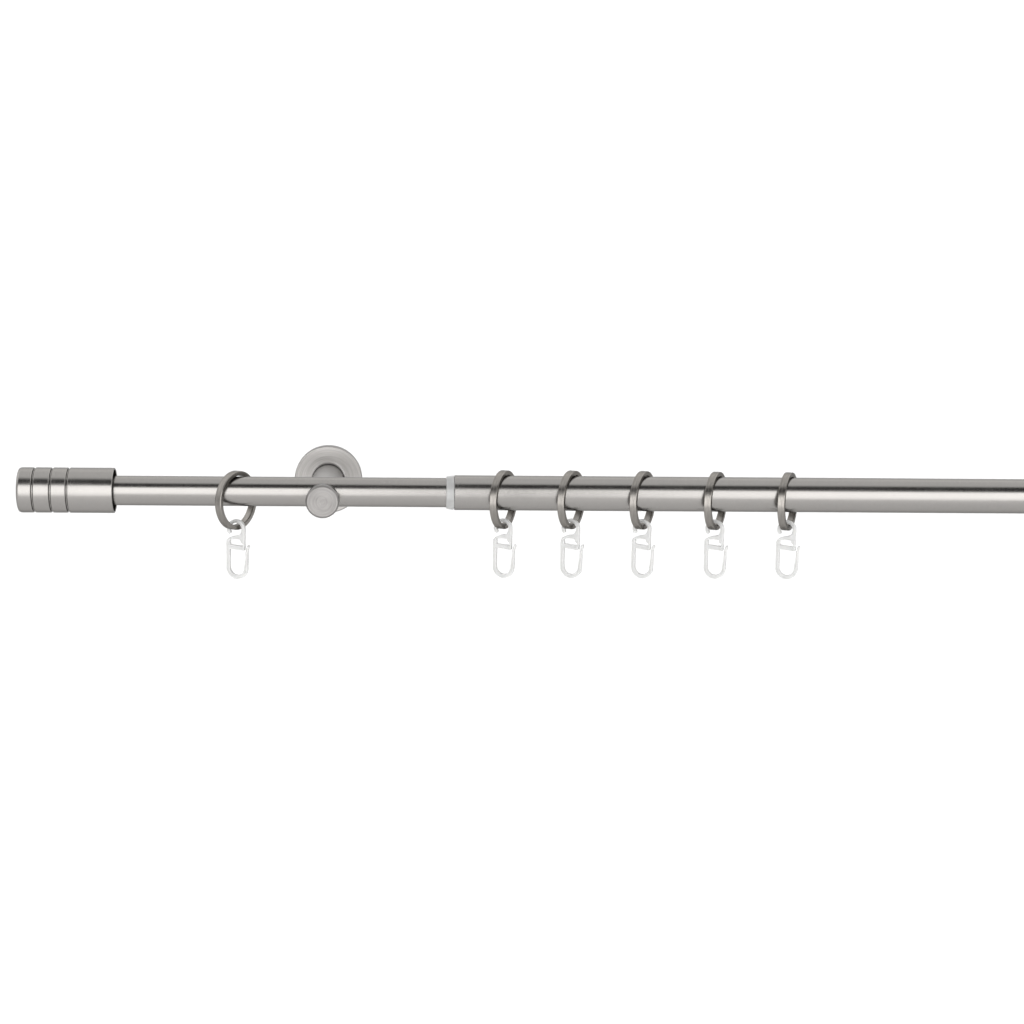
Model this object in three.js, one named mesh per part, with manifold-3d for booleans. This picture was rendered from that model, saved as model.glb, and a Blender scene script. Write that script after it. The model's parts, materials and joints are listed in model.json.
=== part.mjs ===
// Telescopic curtain rod on two wall brackets, with grooved end caps, rings and curtain hooks.
// Millimetres, +Z up, +X along the rod, +Y into the wall.
// The origin is the centre of the left bracket's wall face, on the axis of the bracket arm.
import * as THREE from "three";
import { mergeVertices } from "three/addons/utils/BufferGeometryUtils.js";
import Module from "manifold-3d";

const wasm = await Module();
wasm.setup();

// ---- Driving dimensions ----
const GAP = 0.3; // clearance between separate pieces
const RING_GAP = 0.15; // clearance where a ring hangs on its tube
const CUT = 1; // how far a cutting solid runs past the face it cuts

const ROD = { projection: 80, lift: 3.35, bracketSpacing: 872, overhang: 163 };
const INNER_TUBE = { radius: 8, wall: 1, hiddenEnd: 915 };
const OUTER_TUBE = { radius: 9.5, wall: 0.5, mouth: 71 };
const COLLAR = { length: 4.2, noseRadius: 8.6, backRadius: 9.35, backLand: 0.9, sleeve: 24 };
const GUIDE = { plug: 20, flange: 3 };

const FINIAL = {
  radius: 12.2,
  length: 51,
  endWall: 2,
  edge: 1.4,
  grooves: [8.5, 17.9, 26.7],
  grooveWidth: 1.5,
  grooveDepth: 0.9,
  grooveSlope: 0.25,
  boreRadius: 10,
  boreDepth: 35,
  mouthRadius: 11,
  insertDisc: 12,
  spigotEnd: 42,
  spigotBevel: 1,
  mouthBevel: 0.4,
};

const ARM = {
  radius: 9,
  length: 95,
  frontBevel: 0.9,
  rearBevel: 0.4,
  socketRadius: 4.9,
  socketDepth: 14,
};
const PLATE = {
  radius: 17,
  thickness: 4,
  edge: 0.5,
  hubRadius: 4.6,
  hubLength: 16,
  hubBevel: 0.6,
  screwOffset: 13,
  sinkSlack: 0.2,
};
const ROSETTE = {
  radius: 19.4,
  depth: 6.2,
  edge: 0.8,
  crown: 6.8,
  collarRadius: 10.4,
  collarDepth: 7.8,
  lip: 0.3,
  wall: 1.4,
};
const WALL_SCREW = {
  length: 30,
  radius: 1.7,
  headRadius: 3.4,
  headHeight: 2.4,
  headRim: 0.3,
  point: 4,
  sunk: 0.1,
  recessLength: 4.4,
  recessWidth: 0.9,
  recessDepth: 1.4,
};
const GRUB_SCREW = {
  radius: 2,
  length: 4,
  edge: 0.3,
  tipBevel: 0.6,
  socketAcross: 2,
  socketDepth: 1.8,
};
const ARM_SCREW_STATION = 13; // how far in front of the wall the arm's grub screw sits

const RING = { outerRadius: 16, innerRadius: 13.5, width: 4 };
const HOOK = { thickness: 2.2, drop: 0.9, loopOuter: 5.25, loopInner: 3.4 };

// Left half's rings: place along X, yaw in degrees (the near side turned to the left), and how
// much less the hook is turned. The right half mirrors them about the middle of the two brackets.
const SLIM_TUBE_YAW = 33.5;
const THICK_TUBE_YAW = 27.5; // the thick tube stops a ring from turning much further
const LEFT_RINGS = [
  { x: -47, yaw: SLIM_TUBE_YAW, twist: 14 },
  { x: 97.8, yaw: 24.5, twist: 0 },
  { x: 134.8, yaw: 26.5, twist: 0 },
  { x: 173.9, yaw: 26.5, twist: 0 },
  { x: 214, yaw: 25, twist: 0 },
  { x: 253.8, yaw: 24, twist: 0 },
];

const SEGMENTS = { tube: 36, finial: 28, bracket: 28, ring: 28, screw: 10, hookArc: 8 };

// ---- Materials ----
function metal(color, roughness) {
  return new THREE.MeshStandardMaterial({ color, roughness, metalness: 1 });
}

function plastic(color, roughness) {
  return new THREE.MeshStandardMaterial({ color, roughness, metalness: 0 });
}

const MATERIALS = {
  satinSteel: metal(0xb9b4ae, 0.32),
  bracketNickel: metal(0xb4afaa, 0.38),
  ringNickel: metal(0x9a938b, 0.4),
  zincSteel: metal(0xaeb0b2, 0.45),
  milkyPlastic: plastic(0xe6e6e3, 0.45),
  clearPlastic: plastic(0xd4d4d1, 0.35),
  innerPlastic: plastic(0x8f8f8c, 0.6),
};

// ---- Geometry helpers ----
function signedArea(points) {
  return points.reduce((sum, [r, s], i) => {
    const [nextR, nextS] = points[(i + 1) % points.length];
    return sum + (r * nextS - nextR * s) / 2;
  }, 0);
}

// A solid of revolution about +Y. The profile lists [radius, station] pairs, and either starts
// and ends on the axis or is a ring's section, which is closed here.
function turned(profile, segments) {
  const ordered = signedArea(profile) > 0 ? profile : [...profile].reverse();
  const onAxis = ordered[0][0] === 0 && ordered.at(-1)[0] === 0;
  const closed = onAxis ? ordered : [...ordered, ordered[0]];
  return new THREE.LatheGeometry(closed.map(([r, s]) => new THREE.Vector2(r, s)), segments);
}

// Stations run along +X.
function turnedAlongRod(profile, segments) {
  return turned(profile, segments).rotateZ(-Math.PI / 2);
}

// Stations run from the wall into the room, along -Y.
function turnedFromWall(profile, segments) {
  return turned(profile, segments).rotateZ(Math.PI);
}

// Stations run upwards, along +Z.
function turnedUpright(profile, segments) {
  return turned(profile, segments).rotateX(Math.PI / 2);
}

function solidFrom(geometry) {
  const bare = geometry.clone();
  bare.deleteAttribute("normal");
  bare.deleteAttribute("uv");
  const merged = mergeVertices(bare, 1e-4);
  return new wasm.Manifold(
    new wasm.Mesh({
      numProp: 3,
      vertProperties: new Float32Array(merged.attributes.position.array),
      triVerts: new Uint32Array(merged.index.array),
    }),
  );
}

function geometryFrom(solid) {
  const mesh = solid.getMesh();
  const geometry = new THREE.BufferGeometry();
  geometry.setAttribute("position", new THREE.BufferAttribute(mesh.vertProperties, 3));
  geometry.setIndex(new THREE.BufferAttribute(mesh.triVerts, 1));
  geometry.computeVertexNormals();
  return geometry;
}

function cutFrom(body, ...cutters) {
  return geometryFrom(cutters.reduce((solid, c) => solid.subtract(solidFrom(c)), solidFrom(body)));
}

function piece(name, geometry, material) {
  const mesh = new THREE.Mesh(geometry, material);
  mesh.name = name;
  return mesh;
}

// ---- Screws ----
// Countersunk wood screw: stations run from its point, deep in the wall, to its head.
function wallScrew(name) {
  const { length, radius, headRadius, headHeight, headRim, point } = WALL_SCREW;
  const { recessLength, recessWidth, recessDepth } = WALL_SCREW;
  const shank = turnedFromWall(
    [
      [0, -length],
      [radius, point - length],
      [radius, -headHeight],
      [headRadius, -headRim],
      [headRadius, 0],
      [0, 0],
    ],
    SEGMENTS.screw,
  );
  const recess = [0, Math.PI / 2].map((turn) =>
    new THREE.BoxGeometry(recessLength, 2 * recessDepth, recessWidth).rotateY(turn),
  );
  return piece(name, cutFrom(shank, ...recess), MATERIALS.zincSteel);
}

// Headless set screw with a hexagon socket in its lower end; its tip is at the origin.
function grubScrew(name) {
  const { radius, length, edge, tipBevel, socketAcross, socketDepth } = GRUB_SCREW;
  const body = turnedUpright(
    [
      [0, -length],
      [radius - edge, -length],
      [radius, edge - length],
      [radius, -tipBevel],
      [radius - tipBevel, 0],
      [0, 0],
    ],
    SEGMENTS.screw,
  );
  const cornerRadius = socketAcross / Math.sqrt(3);
  const socket = new THREE.CylinderGeometry(cornerRadius, cornerRadius, 2 * socketDepth, 6)
    .rotateX(Math.PI / 2)
    .translate(0, 0, -length);
  return piece(name, cutFrom(body, socket), MATERIALS.zincSteel);
}

// ---- Bracket ----
function wallPlate(name) {
  const { radius, thickness, edge, hubRadius, hubLength, hubBevel, screwOffset, sinkSlack } = PLATE;
  const disc = turnedFromWall(
    [
      [0, 0],
      [radius, 0],
      [radius, thickness - edge],
      [radius - edge, thickness],
      [hubRadius, thickness],
      [hubRadius, hubLength - hubBevel],
      [hubRadius - hubBevel, hubLength],
      [0, hubLength],
    ],
    SEGMENTS.bracket,
  );
  const holeRadius = WALL_SCREW.radius + GAP;
  const sinkRadius = WALL_SCREW.headRadius + GAP;
  const sink = [
    [0, -CUT],
    [holeRadius, -CUT],
    [holeRadius, thickness - WALL_SCREW.headHeight - sinkSlack],
    [sinkRadius, thickness - 2 * sinkSlack],
    [sinkRadius, thickness + CUT],
    [0, thickness + CUT],
  ];
  const holes = [-screwOffset, screwOffset].map((z) =>
    turnedFromWall(sink, SEGMENTS.screw).translate(0, 0, z),
  );
  return piece(name, cutFrom(disc, ...holes), MATERIALS.zincSteel);
}

// Dished cover over the wall plate, with a low filleted collar round the arm.
function rosette(name) {
  const { radius, depth, edge, crown, collarRadius, collarDepth, lip, wall } = ROSETTE;
  const hole = ARM.radius + GAP;
  const rimSteps = [0, 0.5, 1].map((t) => [
    radius - edge * (1 - Math.cos((t * Math.PI) / 2)),
    depth - edge + edge * Math.sin((t * Math.PI) / 2),
  ]);
  const collarRise = collarDepth - crown;
  const filletSteps = [1 / 3, 2 / 3, 1].map((t) => [
    collarRadius - (collarRadius - hole - lip) * Math.sin((t * Math.PI) / 2),
    crown + collarRise * (1 - Math.cos((t * Math.PI) / 2)),
  ]);
  const profile = [
    [radius, GAP],
    ...rimSteps,
    [collarRadius, crown],
    ...filletSteps,
    [hole, collarDepth],
    [hole, crown - wall],
    [radius - edge, depth - wall],
    [radius - wall, depth - edge - wall],
    [radius - wall, GAP],
  ];
  return piece(name, turnedFromWall(profile, SEGMENTS.bracket), MATERIALS.bracketNickel);
}

// Round arm with a blind socket for the wall plate's hub and an open-topped saddle for the tube.
function bracketArm(name, tubeRadius) {
  const { radius, length, frontBevel, rearBevel, socketRadius, socketDepth } = ARM;
  const rear = PLATE.thickness + GAP;
  const socketEnd = rear + socketDepth;
  const bar = turnedFromWall(
    [
      [socketRadius, rear],
      [radius - rearBevel, rear],
      [radius, rear + rearBevel],
      [radius, length - frontBevel],
      [radius - frontBevel, length],
      [0, length],
      [0, socketEnd],
      [socketRadius, socketEnd],
    ].reverse(),
    SEGMENTS.bracket,
  );
  return piece(
    name,
    cutFrom(bar, saddleCutter(tubeRadius + GAP), screwHole(ARM_SCREW_STATION), screwHole(ROD.projection)),
    MATERIALS.bracketNickel,
  );
}

// U-shaped solid across the arm: a half-round floor under the tube and straight sides to the top.
function saddleCutter(radius) {
  const outline = new THREE.Shape();
  outline.absarc(0, 0, radius, Math.PI, 2 * Math.PI, false);
  outline.lineTo(radius, ARM.radius);
  outline.lineTo(-radius, ARM.radius);
  const span = 2 * (ARM.radius + CUT);
  return new THREE.ExtrudeGeometry(outline, { depth: span, bevelEnabled: false, curveSegments: 20 })
    .translate(0, 0, -span / 2)
    .rotateX(Math.PI / 2)
    .rotateZ(Math.PI / 2)
    .translate(0, -ROD.projection, ROD.lift);
}

// Hole for a grub screw, up through the arm's underside.
function screwHole(station) {
  const radius = GRUB_SCREW.radius + GAP;
  return new THREE.CylinderGeometry(radius, radius, ARM.radius + CUT, SEGMENTS.screw)
    .rotateX(Math.PI / 2)
    .translate(0, -station, -(ARM.radius + CUT) / 2);
}

function bracket(side, x, tubeRadius) {
  const group = new THREE.Group();
  group.position.x = x;
  group.add(wallPlate(side + "_wall_plate"));
  for (const [place, sign] of [["upper", 1], ["lower", -1]]) {
    const screw = wallScrew(`${side}_wall_screw_${place}`);
    screw.position.set(0, WALL_SCREW.sunk - PLATE.thickness, sign * PLATE.screwOffset);
    group.add(screw);
  }
  group.add(rosette(side + "_rosette"));
  group.add(bracketArm(side + "_bracket_arm", tubeRadius));

  const armScrew = grubScrew(side + "_arm_grub_screw");
  armScrew.position.set(0, -ARM_SCREW_STATION, -PLATE.hubRadius - GAP);
  const clampScrew = grubScrew(side + "_rod_clamp_screw");
  clampScrew.position.set(0, -ROD.projection, ROD.lift - tubeRadius - GAP);
  group.add(armScrew, clampScrew);
  return group;
}

// ---- Telescopic rod ----
function tube(name, { radius, wall }, start, end) {
  const section = [
    [radius - wall, start],
    [radius, start],
    [radius, end],
    [radius - wall, end],
  ];
  return piece(name, turnedAlongRod(section, SEGMENTS.tube), MATERIALS.satinSteel);
}

// Plastic collar: a tapered nose at the outer tube's mouth and a thin sleeve inside it.
function tubeCollar() {
  const { length, noseRadius, backRadius, backLand, sleeve } = COLLAR;
  const bore = INNER_TUBE.radius + GAP;
  const sleeveRadius = OUTER_TUBE.radius - OUTER_TUBE.wall - GAP;
  const back = OUTER_TUBE.mouth - GAP;
  const section = [
    [bore, back - length],
    [noseRadius, back - length],
    [backRadius, back - backLand],
    [backRadius, back],
    [sleeveRadius, back],
    [sleeveRadius, back + sleeve],
    [bore, back + sleeve],
  ];
  return piece("tube_collar", turnedAlongRod(section, SEGMENTS.tube), MATERIALS.clearPlastic);
}

// Plastic plug in the inner tube's hidden end, whose flange centres it in the outer tube.
function innerTubeGuide() {
  const plugRadius = INNER_TUBE.radius - INNER_TUBE.wall - GAP;
  const flangeRadius = OUTER_TUBE.radius - OUTER_TUBE.wall - GAP;
  const end = INNER_TUBE.hiddenEnd + GAP;
  const profile = [
    [0, end - GUIDE.plug],
    [plugRadius, end - GUIDE.plug],
    [plugRadius, end],
    [flangeRadius, end],
    [flangeRadius, end + GUIDE.flange],
    [0, end + GUIDE.flange],
  ];
  return piece("inner_tube_guide", turnedAlongRod(profile, SEGMENTS.finial), MATERIALS.innerPlastic);
}

// ---- End caps ----
// Stations run from the closed tip to the open mouth.
function finialShell(name) {
  const f = FINIAL;
  const tipEdge = [0, 0.5, 1].map((t) => [
    f.radius - f.edge * (1 - Math.sin((t * Math.PI) / 2)),
    f.edge * (1 - Math.cos((t * Math.PI) / 2)),
  ]);
  const grooves = f.grooves.flatMap((middle) => {
    const half = f.grooveWidth / 2;
    const floor = f.radius - f.grooveDepth;
    return [
      [f.radius, middle - half],
      [floor, middle - half + f.grooveSlope],
      [floor, middle + half - f.grooveSlope],
      [f.radius, middle + half],
    ];
  });
  const profile = [
    [0, 0],
    ...tipEdge,
    ...grooves,
    [f.radius, f.length - f.mouthBevel],
    [f.radius - f.mouthBevel, f.length],
    [f.mouthRadius, f.length],
    [f.mouthRadius, f.boreDepth],
    [f.boreRadius, f.boreDepth],
    [f.boreRadius, f.endWall],
    [0, f.endWall],
  ];
  return piece(name, turnedAlongRod(profile, SEGMENTS.finial), MATERIALS.satinSteel);
}

// Plastic insert: a disc pressed into the cap's bore and a spigot that plugs the tube.
function finialInsert(name, { radius, wall }) {
  const f = FINIAL;
  const spigotRadius = radius - wall - GAP;
  const discRadius = f.boreRadius - GAP;
  const profile = [
    [0, f.endWall + GAP],
    [discRadius, f.endWall + GAP],
    [discRadius, f.insertDisc],
    [spigotRadius, f.insertDisc],
    [spigotRadius, f.spigotEnd - f.spigotBevel],
    [spigotRadius - f.spigotBevel, f.spigotEnd],
    [0, f.spigotEnd],
  ];
  return piece(name, turnedAlongRod(profile, SEGMENTS.finial), MATERIALS.innerPlastic);
}

function finial(side, tipX, tubeSize) {
  const group = new THREE.Group();
  group.position.x = tipX;
  group.rotation.z = side === "left" ? 0 : Math.PI;
  group.add(finialShell(side + "_finial_shell"));
  group.add(finialInsert(side + "_finial_insert", tubeSize));
  return group;
}

// ---- Rings and hooks ----
// How far a ring's centre hangs below the tube's axis. A yawed ring is a narrower opening, so
// every point round its inner edge is tried, and the one that meets the tube first decides.
function ringDrop(yaw, tubeRadius) {
  const reach = tubeRadius + RING_GAP;
  const steps = Array.from({ length: 91 }, (_, degrees) => THREE.MathUtils.degToRad(degrees));
  const drops = steps.map((angle) => {
    const inside = RING.innerRadius * Math.cos(angle) * Math.cos(yaw);
    const aside = Math.max(0, inside - (RING.width / 2) * Math.sin(yaw));
    return aside < reach
      ? RING.innerRadius * Math.sin(angle) - Math.sqrt(reach ** 2 - aside ** 2)
      : Infinity;
  });
  return Math.min(...drops);
}

function curtainRing(name) {
  const half = RING.width / 2;
  const section = [
    [RING.innerRadius, -half],
    [RING.outerRadius, -half],
    [RING.outerRadius, half],
    [RING.innerRadius, half],
  ];
  return piece(name, turnedAlongRod(section, SEGMENTS.ring), MATERIALS.ringNickel);
}

// Flat moulded hook. Its outline is about the centre of the loop that holds the ring: loop, waist,
// shoulder, left leg, round bottom, the springy gate at the right, crossbar, and a window with a tooth.
function hookOutline() {
  const loopEnd = THREE.MathUtils.degToRad(208);
  const outline = new THREE.Shape();
  outline.absarc(0, 0, HOOK.loopOuter, 0, loopEnd, false);
  outline.absarc(0, 0, HOOK.loopInner, loopEnd, 0, true);
  outline.lineTo(3.2, -1.4);
  outline.lineTo(2.2, -3.1);
  outline.lineTo(-1.5, -3.9);
  outline.lineTo(-4.1, -4.9);
  outline.lineTo(-5.6, -6.4);
  outline.absarc(0.55, -21.4, 6.15, Math.PI, 2 * Math.PI, false);
  outline.lineTo(6.9, -15.5);
  outline.lineTo(6.8, -12);
  outline.lineTo(7.7, -9.8);
  outline.lineTo(7.5, -8.7);
  outline.lineTo(6.9, -8.5);
  outline.lineTo(6.4, -9.4);
  outline.lineTo(5.7, -12.2);
  outline.lineTo(5.6, -15.5);
  outline.absarc(0.6, -21.1, 4.2, 0, Math.PI, true);
  outline.lineTo(-3.6, -11.1);
  outline.lineTo(4.6, -11.7);
  outline.lineTo(5, -11.3);
  outline.closePath();

  const window = new THREE.Path();
  window.moveTo(-3.6, -6.1);
  window.lineTo(-3.4, -8.6);
  window.lineTo(4.1, -9.2);
  window.lineTo(4.1, -7.9);
  window.lineTo(3, -7.4);
  window.lineTo(2.5, -5.8);
  window.lineTo(-0.5, -5.6);
  window.closePath();
  outline.holes.push(window);
  return outline;
}

function curtainHook(name) {
  const geometry = new THREE.ExtrudeGeometry(hookOutline(), {
    depth: HOOK.thickness,
    bevelEnabled: false,
    curveSegments: SEGMENTS.hookArc,
  })
    .translate(0, 0, -HOOK.thickness / 2)
    .rotateX(Math.PI / 2);
  return piece(name, geometry, MATERIALS.milkyPlastic);
}

// A ring on a tube with its hook hanging from the ring's lowest point.
function ringWithHook(number, { x, yaw, twist }, tubeRadius) {
  const label = String(number).padStart(2, "0");
  const turn = THREE.MathUtils.degToRad(yaw);
  const group = new THREE.Group();
  group.position.set(x, -ROD.projection, ROD.lift - ringDrop(Math.abs(turn), tubeRadius));
  group.rotation.z = -turn;
  const hook = curtainHook("curtain_hook_" + label);
  hook.position.z = -(RING.innerRadius + RING.outerRadius) / 2 - HOOK.drop;
  hook.rotation.z = THREE.MathUtils.degToRad(twist);
  group.add(curtainRing("curtain_ring_" + label), hook);
  return group;
}

function mirrored({ x, yaw, twist }) {
  return { x: ROD.bracketSpacing - x, yaw: -Math.min(yaw, THICK_TUBE_YAW), twist: -twist };
}

// ---- Assembly ----
function telescopicRod() {
  const group = new THREE.Group();
  const tubeInset = FINIAL.insertDisc + GAP;
  const rightEnd = ROD.bracketSpacing + ROD.overhang - tubeInset;
  group.position.set(0, -ROD.projection, ROD.lift);
  group.add(tube("inner_tube", INNER_TUBE, tubeInset - ROD.overhang, INNER_TUBE.hiddenEnd));
  group.add(innerTubeGuide());
  group.add(tube("outer_tube", OUTER_TUBE, OUTER_TUBE.mouth, rightEnd));
  group.add(tubeCollar());
  group.add(finial("left", -ROD.overhang, INNER_TUBE));
  group.add(finial("right", ROD.bracketSpacing + ROD.overhang, OUTER_TUBE));
  return group;
}

const curtainRod = new THREE.Group();
curtainRod.add(bracket("left", 0, INNER_TUBE.radius));
curtainRod.add(bracket("right", ROD.bracketSpacing, OUTER_TUBE.radius));
curtainRod.add(telescopicRod());

const rings = [...LEFT_RINGS, ...LEFT_RINGS.map(mirrored).reverse()];
rings.forEach((place, i) => {
  const tubeSize = place.x < OUTER_TUBE.mouth ? INNER_TUBE : OUTER_TUBE;
  curtainRod.add(ringWithHook(i + 1, place, tubeSize.radius));
});

export default curtainRod;
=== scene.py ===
import json
import math

import bmesh
import bpy
from mathutils import Matrix, Vector

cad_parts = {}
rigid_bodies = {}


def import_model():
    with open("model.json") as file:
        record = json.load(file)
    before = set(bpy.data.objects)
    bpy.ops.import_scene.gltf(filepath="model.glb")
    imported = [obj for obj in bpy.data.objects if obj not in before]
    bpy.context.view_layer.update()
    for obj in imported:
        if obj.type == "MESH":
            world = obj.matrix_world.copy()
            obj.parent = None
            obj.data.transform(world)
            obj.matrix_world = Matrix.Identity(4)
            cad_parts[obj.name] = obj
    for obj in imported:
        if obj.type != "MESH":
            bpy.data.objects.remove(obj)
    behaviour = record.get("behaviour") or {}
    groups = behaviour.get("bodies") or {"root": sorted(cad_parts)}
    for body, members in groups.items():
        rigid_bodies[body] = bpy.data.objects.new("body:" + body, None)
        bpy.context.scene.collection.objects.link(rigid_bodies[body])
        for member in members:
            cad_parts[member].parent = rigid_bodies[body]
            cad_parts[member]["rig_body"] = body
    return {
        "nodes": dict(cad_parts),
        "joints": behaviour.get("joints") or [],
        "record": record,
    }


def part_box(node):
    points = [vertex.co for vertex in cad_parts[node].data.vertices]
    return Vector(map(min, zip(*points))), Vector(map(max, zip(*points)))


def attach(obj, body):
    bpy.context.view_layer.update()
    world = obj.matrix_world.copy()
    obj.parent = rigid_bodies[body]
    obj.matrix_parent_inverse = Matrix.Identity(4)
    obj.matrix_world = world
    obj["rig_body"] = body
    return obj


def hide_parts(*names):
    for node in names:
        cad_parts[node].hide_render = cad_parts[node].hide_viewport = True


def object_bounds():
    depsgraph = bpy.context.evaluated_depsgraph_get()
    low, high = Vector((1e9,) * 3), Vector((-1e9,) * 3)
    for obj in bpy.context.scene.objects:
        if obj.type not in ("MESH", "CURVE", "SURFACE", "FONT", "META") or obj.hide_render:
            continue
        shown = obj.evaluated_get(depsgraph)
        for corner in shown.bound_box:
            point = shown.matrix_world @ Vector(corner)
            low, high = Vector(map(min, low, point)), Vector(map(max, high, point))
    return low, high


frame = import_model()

cad_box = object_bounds()
MM = 0.001
SMOOTH_ANGLE = math.radians(35)     # edges sharper than this stay sharp
BEVEL_ANGLE = math.radians(50)      # edges sharper than this are softened
ON_AXIS = 1e-9                      # a radius below this is a point on the axis
FINE_SEGMENTS, HOLE_SEGMENTS, SCREW_SEGMENTS = 128, 48, 32

# ---- Camera, light and floor, in metres where nothing else is said ----
CAMERA_ASIDE = 0.04405      # right of the left bracket
CAMERA_DISTANCE = 1.1367    # from the rod's axis
CAMERA_ELEVATION = 8.095    # degrees
CAMERA_AIM_X = 0.10246
CAMERA_AIM_DROP = 0.01044
CAMERA_ROLL = 0.7945        # degrees
CAMERA_LENS = 73.516        # millimetres
FLOOR_DROP = 0.8
FLOOR_SIZE = 200.0

# World brightness by elevation in degrees. The front has a dark gap above the soft boxes, which
# the tubes show as one thin dark line.
SKY_FRONT = [(-90, 1.05), (0, 1.05), (34, 0.95), (39, 0.03), (62, 0.03), (69, 1.3), (90, 1.4)]
SKY_BACK = [(-90, 1.0), (0, 1.12), (8, 1.2), (20, 1.9), (50, 1.9), (70, 1.4), (90, 1.4)]
SKY_TOP = max(value for _, value in SKY_FRONT + SKY_BACK)
FRONT_STARTS, FRONT_FULL = -0.15, -0.35     # Y of the direction where the front ramp begins and rules

# Two tall soft boxes in front with a narrow space between them: left edge and width. Each is a
# stack of panels that grow brighter upwards: foot, top and brightness.
BOX_DISTANCE = 2.2          # in front of the wall
SOFT_BOXES = {"left_box": (-2.6, 2.69), "right_box": (0.36, 3.0)}
BOX_PANELS = [(-0.8, -0.5, 1.9), (-0.5, -0.2, 2.4), (-0.2, 0.15, 2.75), (0.15, 1.3, 2.8)]
FACING_WALL = (math.pi / 2, 0, 0)       # turns a light that points down towards the wall

# ---- What the CAD frame says ----
JOINTS = {j["name"]: j for j in frame["joints"]}
RING_NUMBERS = [f"{n:02d}" for n in range(1, 13)]


def half_height(node):
    low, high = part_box(node)
    return (high.z - low.z) / 2


INNER_RADIUS = half_height("inner_tube")
OUTER_RADIUS = half_height("outer_tube")
FINIAL_RADIUS = half_height("left_finial_shell")
RING_RADIUS = half_height("curtain_ring_01")
ROD_Y = (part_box("inner_tube")[0].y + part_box("inner_tube")[1].y) / 2
ROD_Z = (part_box("inner_tube")[0].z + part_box("inner_tube")[1].z) / 2


# ---- Mesh helpers ----
def rounded(points, radius, steps=4, closed=False):
    """A run of 2-D points with each corner turned into a small curve of about that radius."""
    result = []
    count = len(points)
    for i, point in enumerate(points):
        here = Vector(point)
        if not closed and i in (0, count - 1):
            result.append(here)
            continue
        before = Vector(points[i - 1]) - here
        after = Vector(points[(i + 1) % count]) - here
        reach = min(radius, 0.45 * before.length, 0.45 * after.length)
        start, end = here + before.normalized() * reach, here + after.normalized() * reach
        for k in range(steps + 1):
            t = k / steps
            result.append(start * (1 - t) ** 2 + here * 2 * t * (1 - t) + end * t ** 2)
    return result


def area_of(points):
    """Signed area of a closed outline, positive when it runs counter-clockwise."""
    return sum(
        (a[0] * b[1] - b[0] * a[1]) / 2 for a, b in zip(points, points[1:] + points[:1])
    )


def finish_mesh(name, mesh):
    mesh.shade_smooth()
    mesh.set_sharp_from_angle(angle=SMOOTH_ANGLE)
    piece = bpy.data.objects.new(name, mesh)
    bpy.context.scene.collection.objects.link(piece)
    return piece


def turned(name, profile, segments=96, radius_at=None):
    """A solid of revolution about +X from a profile of (station, radius) points.

    A profile whose ends lie on the axis makes a solid bar, and any other one is closed into a ring.
    """
    points = [tuple(p) for p in profile]
    solid = points[0][1] < ON_AXIS and points[-1][1] < ON_AXIS
    if area_of(points) > 0:
        points.reverse()
    build = bmesh.new()
    rings = []
    for station, radius in points:
        if radius < ON_AXIS:
            rings.append([build.verts.new((station, 0, 0))] * segments)
            continue
        ring = []
        for k in range(segments):
            angle = 2 * math.pi * k / segments
            r = radius_at(station, radius, angle) if radius_at else radius
            ring.append(build.verts.new((station, r * math.cos(angle), r * math.sin(angle))))
        rings.append(ring)
    pairs = list(zip(rings, rings[1:]))
    if not solid:
        pairs.append((rings[-1], rings[0]))
    for first, second in pairs:
        for k in range(segments):
            corners = [first[k], first[(k + 1) % segments], second[(k + 1) % segments], second[k]]
            unique = list(dict.fromkeys(corners))
            if len(unique) > 2:
                build.faces.new(unique)
    bmesh.ops.recalc_face_normals(build, faces=build.faces)
    mesh = bpy.data.meshes.new(name)
    build.to_mesh(mesh)
    build.free()
    return finish_mesh(name, mesh)


def bridge(name, first, last):
    """A closed solid between two end outlines that have the same number of points."""
    build = bmesh.new()
    ends = [[build.verts.new(point) for point in outline] for outline in (first, last)]
    build.faces.new(ends[0])
    build.faces.new(ends[1])
    count = len(ends[0])
    for k in range(count):
        following = (k + 1) % count
        build.faces.new([ends[0][k], ends[0][following], ends[1][following], ends[1][k]])
    bmesh.ops.recalc_face_normals(build, faces=build.faces)
    mesh = bpy.data.meshes.new(name)
    build.to_mesh(mesh)
    build.free()
    return finish_mesh(name, mesh)


def slab(name, outline, thickness, edge, holes=()):
    """A flat moulding with rounded edges: outlines in local XZ, its thickness centred on Y."""
    curve = bpy.data.curves.new(name, "CURVE")
    curve.dimensions = "2D"
    curve.fill_mode = "BOTH"
    curve.extrude = thickness / 2 - edge
    curve.bevel_depth = edge
    curve.bevel_resolution = 3
    curve.offset = -edge
    for run in (outline, *holes):
        spline = curve.splines.new("POLY")
        spline.points.add(len(run) - 1)
        spline.use_cyclic_u = True
        for point, (x, z) in zip(spline.points, run):
            point.co = (x, z, 0, 1)
    holder = bpy.data.objects.new(name + "_outline", curve)
    bpy.context.scene.collection.objects.link(holder)
    bpy.context.view_layer.update()
    shown = holder.evaluated_get(bpy.context.evaluated_depsgraph_get())
    mesh = bpy.data.meshes.new_from_object(shown)
    bpy.data.objects.remove(holder)
    mesh.name = name
    build = bmesh.new()
    build.from_mesh(mesh)
    bmesh.ops.remove_doubles(build, verts=build.verts, dist=1e-6)
    bmesh.ops.recalc_face_normals(build, faces=build.faces)
    build.transform(Matrix.Rotation(math.pi / 2, 4, "X"))
    build.to_mesh(mesh)
    build.free()
    return finish_mesh(name, mesh)


def weigh_normals(piece):
    """Keeps large faces flat where they meet small rounded edges."""
    weighted = piece.modifiers.new("weighted_normals", "WEIGHTED_NORMAL")
    weighted.keep_sharp = True


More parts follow.
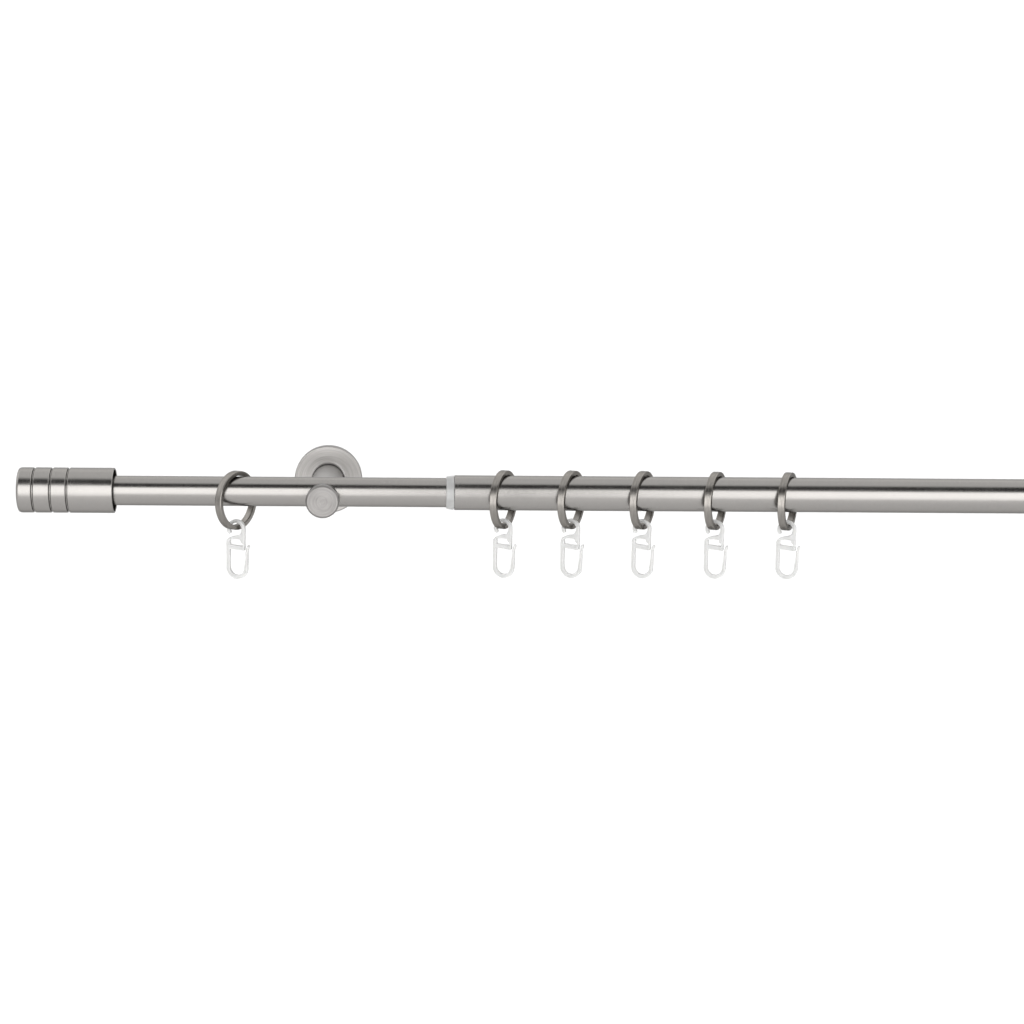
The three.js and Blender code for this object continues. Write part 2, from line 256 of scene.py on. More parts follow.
def cut(piece, cutters):
    """Cuts closed meshes out of a piece and gives it the result as its own mesh."""
    for cutter in cutters:
        boolean = piece.modifiers.new("cut", "BOOLEAN")
        boolean.operation = "DIFFERENCE"
        boolean.solver = "EXACT"
        boolean.object = cutter
    bpy.context.view_layer.update()
    shown = piece.evaluated_get(bpy.context.evaluated_depsgraph_get())
    mesh = bpy.data.meshes.new_from_object(shown)
    piece.modifiers.clear()
    piece.data = mesh
    for cutter in cutters:
        bpy.data.objects.remove(cutter)
    mesh.shade_smooth()
    mesh.set_sharp_from_angle(angle=SMOOTH_ANGLE)


def soften_edges(piece, width):
    bevel = piece.modifiers.new("edge", "BEVEL")
    bevel.width = width
    bevel.segments = 2
    bevel.limit_method = "ANGLE"
    bevel.angle_limit = BEVEL_ANGLE
    bevel.harden_normals = False


# ---- Materials ----
PLASTIC_IOR = 1.49
SMALLEST_RADIUS = 0.01 * MM         # keeps the brushing defined on the axis


class Shader:
    """A short way to add nodes to a material whose coordinates are the piece's own, in metres."""

    def __init__(self, name):
        self.material = bpy.data.materials.new(name)
        self.material.use_nodes = True
        self.tree = self.material.node_tree
        self.surface = self.tree.nodes["Principled BSDF"]
        self.place = self.add("ShaderNodeTexCoord").outputs["Object"]

    def add(self, kind, **settings):
        node = self.tree.nodes.new(kind)
        for key, value in settings.items():
            setattr(node, key, value)
        return node

    def feed(self, socket, source):
        if isinstance(source, bpy.types.NodeSocket):
            self.tree.links.new(source, socket)
        else:
            socket.default_value = source

    def math(self, operation, a, b=0.0):
        node = self.add("ShaderNodeMath", operation=operation)
        for socket, source in zip(node.inputs, (a, b)):
            self.feed(socket, source)
        return node.outputs[0]

    def noise(self, vector, scale, detail, roughness, w=None):
        node = self.add("ShaderNodeTexNoise", noise_dimensions="4D" if w is not None else "3D")
        self.feed(node.inputs["Vector"], vector)
        self.feed(node.inputs["Scale"], scale)
        self.feed(node.inputs["Detail"], detail)
        self.feed(node.inputs["Roughness"], roughness)
        if w is not None:
            self.feed(node.inputs["W"], w)
        return node.outputs["Fac"]

    def spread(self, value, low, high):
        """Brings the middle half of a noise value's range to a range from low to high."""
        node = self.add("ShaderNodeMapRange")
        self.feed(node.inputs["Value"], value)
        self.feed(node.inputs["From Min"], 0.25)
        self.feed(node.inputs["From Max"], 0.75)
        self.feed(node.inputs["To Min"], low)
        self.feed(node.inputs["To Max"], high)
        return node.outputs["Result"]

    def tint(self, factor, dark, light):
        """A colour between two fixed ones."""
        node = self.add("ShaderNodeMix", data_type="RGBA")
        self.feed(node.inputs["Factor"], factor)
        self.feed(node.inputs["A"], (*dark, 1))
        self.feed(node.inputs["B"], (*light, 1))
        return node.outputs["Result"]

    def blend(self, factor, first, second):
        """A colour between two that vary over the surface."""
        node = self.add("ShaderNodeMix", data_type="RGBA")
        self.feed(node.inputs["Factor"], factor)
        self.tree.links.new(first, node.inputs["A"])
        self.tree.links.new(second, node.inputs["B"])
        return node.outputs["Result"]

    def bump(self, height, distance, strength=1.0):
        node = self.add("ShaderNodeBump")
        self.feed(node.inputs["Height"], height)
        self.feed(node.inputs["Distance"], distance)
        self.feed(node.inputs["Strength"], strength)
        return node.outputs["Normal"]


def shades(color, contrast):
    """A darker and a lighter shade of a colour, the lighter one at most white."""
    return (tuple(c * (1 - contrast) for c in color),
            tuple(min(1, c * (1 + contrast)) for c in color))


def brushed_metal(name, color, roughness, line_scale, depth,
                  contrast=0.05, streak=3.0, stretch=0.0, outer=None, edge_tint=0.45):
    """Satin metal with fine lines round its X axis, broken up along their length, and faint smudges.

    A small streak makes the lines long, and stretch spreads the reflections across them. Outer is
    a radius and the lighter colour that the metal has beyond it. The edge tint is how much the
    plating still reflects at a glance.
    """
    shader = Shader(name)
    parts = shader.add("ShaderNodeSeparateXYZ")
    shader.feed(parts.inputs[0], shader.place)
    along, across, up = (parts.outputs[i] for i in range(3))
    radius = shader.math("SQRT", shader.math("ADD", shader.math("POWER", across, 2.0),
                                             shader.math("POWER", up, 2.0)))
    safe = shader.math("MAXIMUM", radius, SMALLEST_RADIUS)
    turn_a = shader.math("DIVIDE", across, safe)
    turn_b = shader.math("DIVIDE", up, safe)
    lines = shader.add("ShaderNodeCombineXYZ")
    shader.feed(lines.inputs[0], shader.math("MULTIPLY", along, line_scale))
    shader.feed(lines.inputs[1], shader.math("MULTIPLY", radius, line_scale))
    shader.feed(lines.inputs[2], shader.math("MULTIPLY", turn_a, streak))
    fine = shader.noise(lines.outputs[0], scale=1.0, detail=4.0, roughness=0.65,
                        w=shader.math("MULTIPLY", turn_b, streak))
    smudge = shader.noise(shader.place, scale=45.0, detail=3.0, roughness=0.5)
    base = shader.tint(shader.spread(fine, 0.0, 1.0), *shades(color, contrast))
    if outer:
        limit, outer_color = outer
        beyond = shader.math("GREATER_THAN", radius, limit)
        outer_base = shader.tint(shader.spread(fine, 0.0, 1.0), *shades(outer_color, contrast))
        base = shader.blend(beyond, base, outer_base)
    shader.feed(shader.surface.inputs["Base Color"], base)
    rough = shader.math("ADD", shader.spread(fine, -0.03, 0.03), shader.spread(smudge, -0.02, 0.03))
    shader.feed(shader.surface.inputs["Roughness"], shader.math("ADD", rough, roughness))
    shader.feed(shader.surface.inputs["Normal"], shader.bump(fine, depth))
    shader.surface.inputs["Metallic"].default_value = 1.0
    shader.surface.inputs["Specular Tint"].default_value = (edge_tint, edge_tint, edge_tint, 1)
    if stretch:
        shader.surface.inputs["Anisotropic"].default_value = stretch
        tangent = shader.add("ShaderNodeTangent", direction_type="RADIAL", axis="X")
        shader.feed(shader.surface.inputs["Tangent"], tangent.outputs["Tangent"])
    return shader.material


def milky_plastic():
    """Translucent white moulding with a faintly uneven skin."""
    shader = Shader("milky_plastic")
    skin = shader.noise(shader.place, scale=900.0, detail=3.0, roughness=0.5)
    cloud = shader.noise(shader.place, scale=180.0, detail=2.0, roughness=0.5)
    shader.feed(shader.surface.inputs["Base Color"],
                shader.tint(shader.spread(cloud, 0.0, 1.0), (0.385, 0.385, 0.381), (0.44, 0.44, 0.436)))
    shader.feed(shader.surface.inputs["Roughness"], shader.spread(skin, 0.32, 0.44))
    shader.feed(shader.surface.inputs["Normal"], shader.bump(skin, 0.02 * MM, 0.5))
    shader.surface.inputs["IOR"].default_value = PLASTIC_IOR
    shader.surface.inputs["Subsurface Weight"].default_value = 0.75
    shader.surface.inputs["Subsurface Radius"].default_value = (2 * MM, 2 * MM, 1.9 * MM)
    shader.surface.inputs["Subsurface Scale"].default_value = 1.0
    return shader.material


def clear_plastic():
    """Frosted grey-white collar plastic with a faintly uneven skin."""
    shader = Shader("clear_plastic")
    skin = shader.noise(shader.place, scale=1200.0, detail=3.0, roughness=0.5)
    cloud = shader.noise(shader.place, scale=260.0, detail=2.0, roughness=0.5)
    shader.feed(shader.surface.inputs["Base Color"],
                shader.tint(shader.spread(cloud, 0.0, 1.0), (0.33, 0.33, 0.325), (0.44, 0.44, 0.434)))
    shader.feed(shader.surface.inputs["Roughness"], shader.spread(skin, 0.26, 0.4))
    shader.feed(shader.surface.inputs["Normal"], shader.bump(skin, 0.02 * MM, 0.5))
    shader.surface.inputs["IOR"].default_value = PLASTIC_IOR
    shader.surface.inputs["Transmission Weight"].default_value = 0.35
    return shader.material


def grey_plastic():
    """Plain grey moulding of the inner guide and inserts."""
    shader = Shader("grey_plastic")
    skin = shader.noise(shader.place, scale=1500.0, detail=4.0, roughness=0.6)
    shader.feed(shader.surface.inputs["Base Color"],
                shader.tint(shader.spread(skin, 0.0, 1.0), (0.20, 0.20, 0.198), (0.27, 0.27, 0.265)))
    shader.feed(shader.surface.inputs["Roughness"], shader.spread(skin, 0.5, 0.68))
    shader.feed(shader.surface.inputs["Normal"], shader.bump(skin, 0.03 * MM))
    return shader.material


def zinc():
    """Bright zinc plating with a mottled, slightly blue grain."""
    shader = Shader("zinc_steel")
    grain = shader.noise(shader.place, scale=700.0, detail=4.0, roughness=0.6)
    patch = shader.noise(shader.place, scale=160.0, detail=2.0, roughness=0.5)
    shader.feed(shader.surface.inputs["Base Color"],
                shader.tint(shader.spread(patch, 0.0, 1.0), (0.46, 0.47, 0.485), (0.62, 0.63, 0.64)))
    shader.feed(shader.surface.inputs["Roughness"], shader.spread(grain, 0.28, 0.46))
    shader.feed(shader.surface.inputs["Normal"], shader.bump(grain, 0.02 * MM))
    shader.surface.inputs["Metallic"].default_value = 1.0
    return shader.material


NICKEL_COLOR = (0.174, 0.168, 0.163)
NICKEL_LOOK = {"roughness": 0.32, "line_scale": 2200.0, "depth": 0.014 * MM,
               "contrast": 0.26, "streak": 0.7, "stretch": 0.5}
ROSETTE_FACE = (9.15 * MM, (0.270, 0.261, 0.252))

STEEL = brushed_metal("satin_steel", (0.248, 0.239, 0.229),
                      roughness=0.23, line_scale=1500.0, depth=0.008 * MM)
NICKEL = brushed_metal("brushed_nickel", NICKEL_COLOR, **NICKEL_LOOK, outer=ROSETTE_FACE)
ARM_NICKEL = brushed_metal("arm_nickel", NICKEL_COLOR, **NICKEL_LOOK, edge_tint=0.85)
RING_METAL = brushed_metal("ring_nickel", (0.200, 0.189, 0.176),
                           roughness=0.24, line_scale=1300.0, depth=0.014 * MM, contrast=0.3)
MILKY = milky_plastic()
CLEAR = clear_plastic()
GREY = grey_plastic()
ZINC = zinc()


# ---- Placing pieces ----
def place(piece, node, material, slot, at=None, turn=None):
    """Puts a detailed piece where its CAD node is, on the node's body."""
    if turn is not None:
        piece.rotation_euler = turn
    if at is not None:
        piece.location = at
    piece.data.materials.clear()
    piece.data.materials.append(material)
    weigh_normals(piece)
    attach(piece, frame["nodes"][node]["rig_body"])
    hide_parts(node)


def keep(node, material):
    """A CAD node that stays, with a finished material."""
    piece = frame["nodes"][node]
    piece.data.materials.clear()
    piece.data.materials.append(material)


def rod_point(x):
    return (x, ROD_Y, ROD_Z)


# ---- Tubes ----
INNER_WALL, OUTER_WALL = 1 * MM, 0.5 * MM
TUBE_EDGE, COLLAR_EDGE = 0.25 * MM, 0.2 * MM


def tube(node, radius, wall):
    low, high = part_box(node)
    section = [(low.x, radius - wall), (low.x, radius), (high.x, radius), (high.x, radius - wall)]
    piece = turned(node + "_detailed", rounded(section, TUBE_EDGE, closed=True))
    place(piece, node, STEEL, "satin_steel", at=rod_point(0))


def collar():
    """Collar at the thick tube's mouth: a blunt nose, a taper, a short land and a hidden sleeve."""
    low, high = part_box("tube_collar")
    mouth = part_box("outer_tube")[0].x
    gap = 0.15 * MM
    bore, sleeve = INNER_RADIUS + gap, OUTER_RADIUS - OUTER_WALL - gap
    nose_height = 0.5 * MM
    taper_start = (low.x + 0.5 * MM, bore + 0.75 * MM)
    land_start, land_end = mouth - 1.3 * MM, mouth - 0.3 * MM
    section = [
        (low.x, bore),
        (low.x, bore + nose_height),
        taper_start,
        (land_start, OUTER_RADIUS - 0.2 * MM),
        (land_end, OUTER_RADIUS - gap),
        (land_end, sleeve),
        (high.x, sleeve),
        (high.x, bore),
    ]
    piece = turned("tube_collar_detailed", rounded(section, COLLAR_EDGE, closed=True))
    place(piece, "tube_collar", CLEAR, "clear_plastic", at=rod_point(0))


# ---- End caps ----
FINIAL_GROOVES = [8.5 * MM, 17.9 * MM, 26.7 * MM]
GROOVE_WIDTH, GROOVE_DEPTH, GROOVE_EDGE = 0.8 * MM, 1.1 * MM, 0.4 * MM
GROOVE_SLOPE = 0.1 * MM     # how far each groove wall leans in
MOUTH_WALL, MOUTH_DEPTH, MOUTH_EDGE = 1.0 * MM, 16 * MM, 0.3 * MM
CAP_BORE, CAP_END = 10 * MM, 2 * MM     # radius of the bore and thickness of the closed end


def finial_shell(side, tip_x, turn):
    """Turned cap: rounded tip, three grooves with bright broken edges, and a thin open mouth."""
    low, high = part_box(side + "_finial_shell")
    length, radius = high.x - low.x, FINIAL_RADIUS
    tip = [(0.0, 0.0), (0.0, radius - 1.4 * MM), (0.4 * MM, radius - 0.45 * MM), (1.5 * MM, radius)]
    grooves = []
    for middle in FINIAL_GROOVES:
        start, end = middle - GROOVE_WIDTH / 2, middle + GROOVE_WIDTH / 2
        grooves += [
            (start - GROOVE_EDGE, radius),
            (start, radius - GROOVE_EDGE),
            (start + GROOVE_SLOPE, radius - GROOVE_DEPTH),
            (end - GROOVE_SLOPE, radius - GROOVE_DEPTH),
            (end, radius - GROOVE_EDGE),
            (end + GROOVE_EDGE, radius),
        ]
    mouth, mouth_bevel = radius - MOUTH_WALL, 0.2 * MM
    bore = [
        (length - MOUTH_EDGE, radius),
        (length, radius - MOUTH_EDGE),
        (length, mouth + mouth_bevel),
        (length - mouth_bevel, mouth),
        (length - MOUTH_DEPTH, mouth),
        (length - MOUTH_DEPTH, CAP_BORE),
        (CAP_END, CAP_BORE),
        (CAP_END, 0.0),
    ]
    profile = rounded(tip + grooves + bore, 0.25 * MM, steps=3)
    piece = turned(side + "_finial_detailed", profile, segments=FINE_SEGMENTS)
    place(piece, side + "_finial_shell", STEEL, "satin_steel", at=rod_point(tip_x), turn=(0, 0, turn))


# ---- Brackets ----
GRUB_SCREW_Y, WALL_SCREW_HEIGHT = -13 * MM, 13 * MM
ARM_SCREW_HOLE = 2.2 * MM               # radius
SADDLE_GAP, SADDLE_REACH, SADDLE_HALF_LENGTH = 0.25 * MM, 20 * MM, 12 * MM
SOCKET_RADIUS, SOCKET_DEPTH = 4.9 * MM, 14 * MM
ARM_SOFT_EDGE = 0.25 * MM


def out_of_wall(x):
    """Location and turn that bring a piece turned about +X to a bracket, its stations along -Y."""
    return {"at": (x, 0, 0), "turn": (0, 0, -math.pi / 2)}


def rosette(side, x):
    """Turned wall cover: a rounded rim, a faintly domed face, a lip round the arm and a hollow back."""
    low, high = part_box(side + "_rosette")
    radius, rear, front = (high.x - low.x) / 2, -high.y, -low.y
    hole = half_height(side + "_bracket_arm") + 0.05 * MM
    rim_station, rim_edge = 6.2 * MM, 0.8 * MM
    dome, face_start, face_width = 0.2 * MM, 0.1 * MM, 8.3 * MM
    lip_station, lip_radius, lip_depth = rim_station + dome, 10.4 * MM, 2.4 * MM
    wall, rear_bevel = 1.4 * MM, 0.3 * MM
    steps = 6
    quarter = [math.pi / 2 * k / steps for k in range(steps + 1)]
    rim = [(rim_station - rim_edge * (1 - math.sin(t)), radius - rim_edge * (1 - math.cos(t)))
           for t in quarter]
    face = [(rim_station + dome * math.sin(quarter[k]),
             radius - rim_edge - face_start - face_width * k / steps)
            for k in range(1, steps + 1)]
    lip = [(lip_station + (front - lip_station) * (1 - math.cos(t)),
            lip_radius - (lip_radius - hole) * math.sin(t))
           for t in quarter[1:]]
    back = [(rear, radius - wall), (rear, radius - rear_bevel), (rear + rear_bevel, radius)]
    hollow = [(front - lip_depth, hole), (4.8 * MM, radius - 1.8 * MM), (3.4 * MM, radius - wall)]
    section = back + rim + face + lip + hollow
    piece = turned(side + "_rosette_detailed", section, segments=FINE_SEGMENTS)
    place(piece, side + "_rosette", NICKEL, "brushed_nickel", **out_of_wall(x))


def upright_bar(name, x, y, radius, low, high):
    """A closed cylinder along Z that cuts a screw hole."""
    outline = [(low, 0), (low, radius), (high, radius), (high, 0)]
    bar = turned(name, outline, segments=HOLE_SEGMENTS)
    bar.rotation_euler = (0, -math.pi / 2, 0)
    bar.location = (x, y, 0)
    return bar


def saddle_cutter(x, tube_radius):
    """U-shaped solid along X, open towards the top."""
    radius, steps = tube_radius + SADDLE_GAP, 40
    outline = [(radius * math.cos(t), radius * math.sin(t))
               for t in (math.pi + math.pi * k / steps for k in range(steps + 1))]
    outline += [(radius, SADDLE_REACH), (-radius, SADDLE_REACH)]
    ends = [[(x + end, ROD_Y + y, ROD_Z + z) for y, z in outline]
            for end in (-SADDLE_HALF_LENGTH, SADDLE_HALF_LENGTH)]
    return bridge("saddle_cutter", *ends)


def bracket_arm(side, x, tube_radius):
    """Round arm with its saddle, the two screw holes, and a turned front face with a broken edge."""
    low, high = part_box(side + "_bracket_arm")
    radius, rear, front = (high.z - low.z) / 2, -high.y, -low.y
    edge, rear_bevel = 0.9 * MM, 0.4 * MM
    face_rim, face_dip, face_middle = 0.25 * MM, 0.12 * MM, 0.05 * MM
    outside = [
        (rear, SOCKET_RADIUS),
        (rear, radius - rear_bevel),
        (rear + rear_bevel, radius),
        (front - edge, radius),
        (front, radius - edge),
        (front - face_dip, radius - edge - face_rim),
        (front - face_middle, 0),
    ]
    socket_end = rear + SOCKET_DEPTH
    profile = [(socket_end, 0), (socket_end, SOCKET_RADIUS)] + rounded(outside, 0.15 * MM)
    piece = turned(side + "_bracket_arm_detailed", profile, segments=FINE_SEGMENTS)
    piece.rotation_euler = out_of_wall(x)["turn"]
    piece.location = out_of_wall(x)["at"]
    bottom = -radius - 1 * MM
    cutters = [
        saddle_cutter(x, tube_radius),
        upright_bar("arm_screw_hole", x, GRUB_SCREW_Y, ARM_SCREW_HOLE, bottom, 0),
        upright_bar("clamp_screw_hole", x, ROD_Y, ARM_SCREW_HOLE, bottom, ROD_Z),
    ]
    cut(piece, cutters)
    soften_edges(piece, ARM_SOFT_EDGE)
    place(piece, side + "_bracket_arm", ARM_NICKEL, "brushed_nickel")


def wall_plate(side, x):
    """Round plate with a hub for the arm and two countersunk screw holes."""
    low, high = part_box(side + "_wall_plate")
    radius, hub_end = (high.x - low.x) / 2, -low.y
    thickness, hub_radius = 4 * MM, 4.6 * MM
    profile = [
        (0, 0),
        (0, radius),
        (thickness, radius),
        (thickness, hub_radius),
        (hub_end, hub_radius),
        (hub_end, 0),
    ]
    piece = turned(side + "_wall_plate_detailed", rounded(profile, 0.4 * MM))
    hole, head, past = 2 * MM, 3.7 * MM, 1 * MM
    sink_foot, sink_top = 1.4 * MM, 3.6 * MM
    sink = [
        (-past, 0),
        (-past, hole),
        (sink_foot, hole),
        (sink_top, head),
        (thickness + past, head),
        (thickness + past, 0),
    ]
    cutters = []
    for height in (-WALL_SCREW_HEIGHT, WALL_SCREW_HEIGHT):
        cutter = turned("sink", sink, segments=HOLE_SEGMENTS)
        cutter.location = (0, 0, height)
        cutters.append(cutter)
    cut(piece, cutters)
    place(piece, side + "_wall_plate", ZINC, "zinc_steel", **out_of_wall(x))


def wall_screw(side, place_name, x, height):
    """Countersunk wood screw with a tapering thread and a cross recess."""
    node = f"{side}_wall_screw_{place_name}"
    low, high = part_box(node)
    head, length = -low.y, high.y - low.y
    radius, pitch, point, tip_radius = 1.7 * MM, 1.6 * MM, 4 * MM, 0.12 * MM
    plain, run_in_length = 6 * MM, 1.5 * MM     # length under the head without thread, and its fade
    core = 0.72                                 # the thread's core as a share of its outer radius

    def threaded(station, r, angle):
        depth = -station + head
        if depth <= plain or r < 0.2 * MM:
            return r
        phase = (depth / pitch - angle / (2 * math.pi)) % 1.0
        ridge = max(0.0, 1 - abs(phase - 0.5) * 4)
        run_in = min(1.0, (depth - plain) / run_in_length)
        return r * (core + (1 - core) * ridge * run_in)

    profile = [(head, 0), (head, 3.3 * MM), (head - 0.3 * MM, 3.4 * MM), (head - 2.4 * MM, 1.4 * MM)]
    shank_start, shank_spare, rows = 2.6 * MM, 2.7 * MM, 130
    for k in range(rows + 1):
        depth = shank_start + (length - shank_spare) * k / rows
        taper = min(1.0, (length - depth) / point)
        profile.append((head - depth, max(tip_radius, radius * taper)))
    profile.append((head - length, 0))
    piece = turned(node + "_detailed", profile, segments=SCREW_SEGMENTS, radius_at=threaded)
    half_slot, half_width = 2 * MM, 0.4 * MM
    slot = [(-half_slot, -half_width), (half_slot, -half_width),
            (half_slot, half_width), (-half_slot, half_width)]
    opening, bottom = (head + 0.5 * MM, 1.1), (head - 1.6 * MM, 0.5)
    cutters = []
    for turn in (0, math.pi / 2):
        ends = [[(station, a * scale, b * scale) for a, b in slot]
                for station, scale in (opening, bottom)]
        cutter = bridge("recess", *ends)
        cutter.rotation_euler = (turn, 0, 0)
        cutters.append(cutter)
    cut(piece, cutters)
    place(piece, node, ZINC, "zinc_steel", at=(x, 0, height), turn=out_of_wall(x)["turn"])


def bracket(side, x, tube_radius):
    wall_plate(side, x)
    wall_screw(side, "upper", x, WALL_SCREW_HEIGHT)
    wall_screw(side, "lower", x, -WALL_SCREW_HEIGHT)
    rosette(side, x)
    bracket_arm(side, x, tube_radius)
    keep(side + "_arm_grub_screw", ZINC)
    keep(side + "_rod_clamp_screw", ZINC)


# ---- Rings and hooks ----
def arc(centre, radius, start, end, steps):
    """Points of an arc, with angles in degrees."""
    return [
        (centre[0] + radius * math.cos(math.radians(start + (end - start) * k / steps)),
         centre[1] + radius * math.sin(math.radians(start + (end - start) * k / steps)))
        for k in range(steps + 1)
    ]


HOOK_DROP = 0.9 * MM        # the loop's centre below the middle of the ring's section
HOOK_THICKNESS, HOOK_EDGE = 2.2 * MM, 0.35 * MM
RING_WALL, RING_WIDTH, RING_EDGE = 2.5 * MM, 4 * MM, 0.45 * MM
HOOK_TWIST = {"01": 14, "12": -14}      # degrees between a hook and its ring


def hook_outlines():
    """Outline and window of the hook in millimetres, about the centre of its loop."""
    loop = arc((0, 0), 5.25, 0, 206, 40)
    tip = arc((-3.87, -1.89), 0.93, 206, 386, 8)
    inner = arc((0, 0), 3.38, 206, 0, 36)
    waist = rounded([inner[-1], (3.2, -1.4), (2.2, -3.1), (-1.5, -3.9), (-4.1, -4.9), (-5.6, -6.4),
                     (-5.6, -21.4)], 1.3, steps=6)
    bottom = arc((0.55, -21.4), 6.15, 180, 360, 36)
    gate = rounded([bottom[-1], (6.9, -15.5), (6.8, -12.0), (7.7, -9.8), (7.5, -8.7), (6.9, -8.5),
                    (6.4, -9.4), (5.7, -12.2), (5.6, -15.5), (4.8, -21.1)], 0.6, steps=5)
    inside = arc((0.6, -21.1), 4.2, 0, -180, 30)
    crossbar = rounded([inside[-1], (-3.6, -11.1), (4.6, -11.7), (5.0, -11.3), (5.25, 0)], 0.45, steps=4)
    runs = [loop, tip[1:-1], inner, waist[1:-1], bottom, gate[1:-1], inside, crossbar[1:-1]]
    outline = [tuple(p) for run in runs for p in run]
    window = rounded([(-3.6, -6.1), (-3.4, -8.6), (4.1, -9.2), (4.1, -7.9), (3, -7.4), (2.5, -5.8),
                      (-0.5, -5.6)], 0.35, steps=4, closed=True)
    return outline, [tuple(p) for p in window]


def mesh_alone(piece):
    """The mesh of a piece whose object is not needed."""
    mesh = piece.data
    bpy.data.objects.remove(piece)
    return mesh


def hook_mesh():
    outline, window = ([(x * MM, z * MM) for x, z in run] for run in hook_outlines())
    return mesh_alone(slab("hook_pattern", outline, HOOK_THICKNESS, HOOK_EDGE, [window]))


def ring_mesh():
    outer, inner, half = RING_RADIUS, RING_RADIUS - RING_WALL, RING_WIDTH / 2
    section = rounded([(-half, inner), (-half, outer), (half, outer), (half, inner)],
                      RING_EDGE, closed=True)
    return mesh_alone(turned("ring_pattern", section, segments=FINE_SEGMENTS))


def rings_and_hooks():
    """Every ring and hook from one pattern each, placed by the hook's swing joint."""
    hook_pattern, ring_pattern = hook_mesh(), ring_mesh()
    for number in RING_NUMBERS:
        joint = JOINTS[f"hook_{number}_swing"]
        pivot, axis = Vector(joint["pos_m"]), Vector(joint["axis"])
        yaw = -math.atan2(axis.x, axis.y)
        ring = bpy.data.objects.new(f"curtain_ring_{number}_detailed", ring_pattern.copy())
        hook = bpy.data.objects.new(f"curtain_hook_{number}_detailed", hook_pattern.copy())
        for piece in (ring, hook):
            bpy.context.scene.collection.objects.link(piece)
        centre = pivot + Vector((0, 0, HOOK_DROP + RING_RADIUS - RING_WALL / 2))
        ring_yaw = yaw - math.radians(HOOK_TWIST.get(number, 0))
        place(ring, "curtain_ring_" + number, RING_METAL, "ring_nickel", at=centre, turn=(0, 0, ring_yaw))
        place(hook, "curtain_hook_" + number, MILKY, "milky_plastic", at=pivot, turn=(0, 0, yaw))


# ---- Stage ----
def camera():
    data = bpy.data.cameras.new("camera")
    data.lens = CAMERA_LENS
    holder = bpy.data.objects.new("camera", data)
    bpy.context.scene.collection.objects.link(holder)
    rise = math.radians(CAMERA_ELEVATION)
    holder.location = (
        CAMERA_ASIDE,
        ROD_Y - CAMERA_DISTANCE * math.cos(rise),
        ROD_Z + CAMERA_DISTANCE * math.sin(rise),
    )
    aim = Vector((CAMERA_AIM_X, ROD_Y, ROD_Z - CAMERA_AIM_DROP))
    facing = (aim - holder.location).to_track_quat("-Z", "Y").to_matrix()
    roll = Matrix.Rotation(math.radians(CAMERA_ROLL), 3, "Z")
    holder.rotation_euler = (facing @ roll).to_euler()
    bpy.context.scene.camera = holder


def sky_ramp(tree, height, sky):
    """Brightness by elevation, as a share of the brightest value of both skies."""
    ramp = tree.nodes.new("ShaderNodeValToRGB")
    elements = ramp.color_ramp.elements
    while len(elements) < len(sky):
        elements.new(0.5)
    for element, (elevation, value) in zip(elements, sky):
        element.position = (math.sin(math.radians(elevation)) + 1) / 2
        element.color = (*[value / SKY_TOP] * 3, 1)
    tree.links.new(height, ramp.inputs[0])
    return ramp.outputs[0]


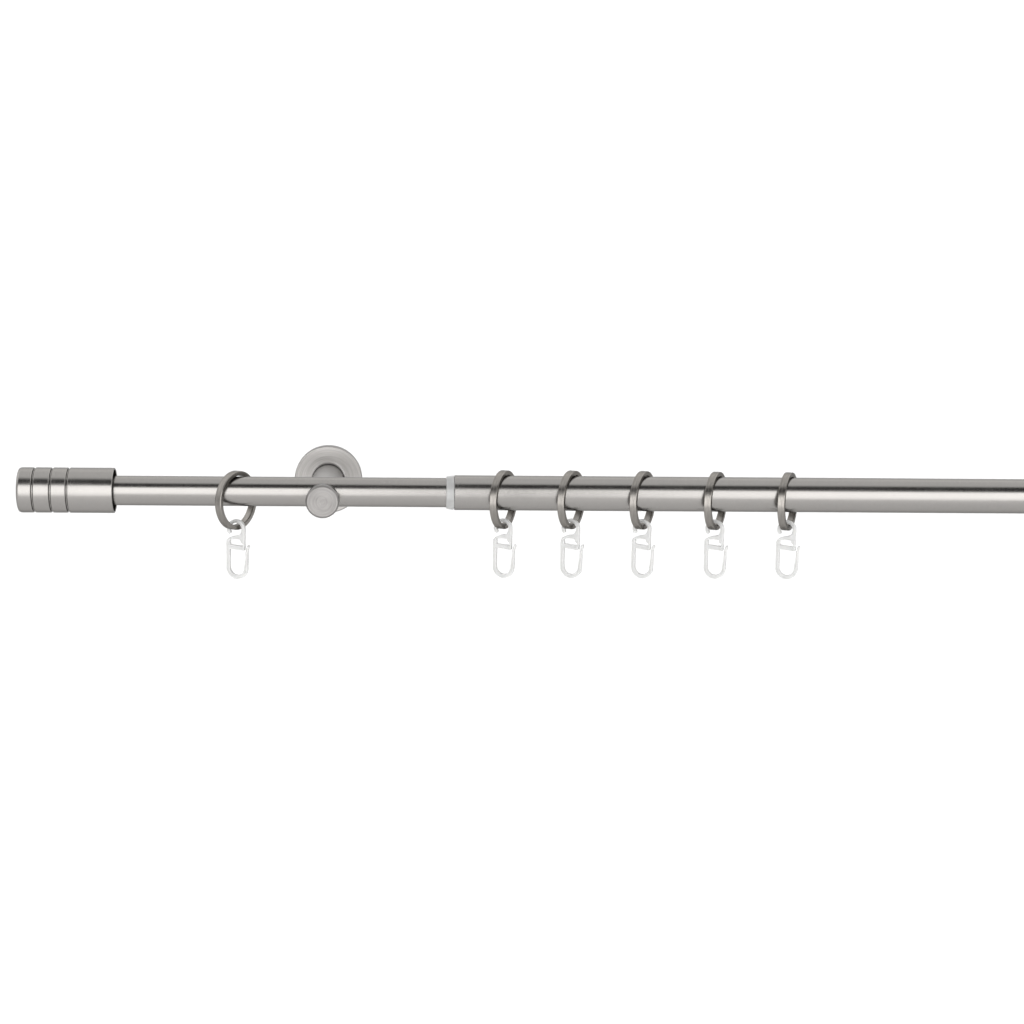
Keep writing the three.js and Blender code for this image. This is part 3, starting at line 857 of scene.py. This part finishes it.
def world_light():
    """A sky that is one ramp in front and another behind, with a short blend between them."""
    world = bpy.data.worlds.new("studio")
    world.use_nodes = True
    bpy.context.scene.world = world
    tree = world.node_tree
    nodes, links = tree.nodes, tree.links
    coordinates = nodes.new("ShaderNodeTexCoord")
    parts = nodes.new("ShaderNodeSeparateXYZ")
    height = nodes.new("ShaderNodeMath")
    height.operation = "MULTIPLY_ADD"
    height.inputs[1].default_value = 0.5
    height.inputs[2].default_value = 0.5
    frontness = nodes.new("ShaderNodeMapRange")
    frontness.inputs["From Min"].default_value = FRONT_STARTS
    frontness.inputs["From Max"].default_value = FRONT_FULL
    mix = nodes.new("ShaderNodeMix")
    mix.data_type = "RGBA"
    background = nodes["Background"]
    background.inputs["Strength"].default_value = SKY_TOP
    links.new(coordinates.outputs["Generated"], parts.inputs[0])
    links.new(parts.outputs["Z"], height.inputs[0])
    links.new(parts.outputs["Y"], frontness.inputs["Value"])
    links.new(frontness.outputs["Result"], mix.inputs["Factor"])
    links.new(sky_ramp(tree, height.outputs[0], SKY_BACK), mix.inputs["A"])
    links.new(sky_ramp(tree, height.outputs[0], SKY_FRONT), mix.inputs["B"])
    links.new(mix.outputs["Result"], background.inputs["Color"])


def soft_panel(name, left, width, foot, top, radiance):
    """An upright panel of even light that faces the rod."""
    tall = top - foot
    data = bpy.data.lights.new(name, "AREA")
    data.shape = "RECTANGLE"
    data.size, data.size_y = width, tall
    data.energy = radiance * math.pi * width * tall
    light = bpy.data.objects.new(name, data)
    bpy.context.scene.collection.objects.link(light)
    light.location = (left + width / 2, -BOX_DISTANCE, (top + foot) / 2)
    light.rotation_euler = FACING_WALL
    light.visible_camera = False


def floor():
    mesh = bpy.data.meshes.new("floor")
    half = FLOOR_SIZE / 2
    level = cad_box[0].z - FLOOR_DROP
    corners = [(-half, -half, level), (half, -half, level), (half, half, level), (-half, half, level)]
    mesh.from_pydata(corners, [], [(0, 1, 2, 3)])
    sheet = bpy.data.objects.new("floor", mesh)
    bpy.context.scene.collection.objects.link(sheet)
    shader = Shader("floor_paint")
    cloud = shader.noise(shader.place, scale=2.0, detail=2.0, roughness=0.5)
    shader.feed(shader.surface.inputs["Base Color"],
                shader.tint(shader.spread(cloud, 0.0, 1.0), (0.80, 0.80, 0.80), (0.82, 0.82, 0.82)))
    shader.surface.inputs["Roughness"].default_value = 0.9
    mesh.materials.append(shader.material)


# ---- Assembly ----
camera()
world_light()
for name, (left, width) in SOFT_BOXES.items():
    for number, (foot, top, radiance) in enumerate(BOX_PANELS):
        soft_panel(f"{name}_{number}", left, width, foot, top, radiance)
floor()

tube("inner_tube", INNER_RADIUS, INNER_WALL)
tube("outer_tube", OUTER_RADIUS, OUTER_WALL)
collar()
keep("inner_tube_guide", GREY)
for side, turn in (("left", 0.0), ("right", math.pi)):
    low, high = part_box(side + "_finial_shell")
    finial_shell(side, low.x if side == "left" else high.x, turn)
    keep(side + "_finial_insert", GREY)
bracket("left", 0.0, INNER_RADIUS)
bracket("right", frame["record"]["mounts"][1]["pos_m"][0], OUTER_RADIUS)
rings_and_hooks()

bpy.context.scene.view_settings.view_transform = "Standard"
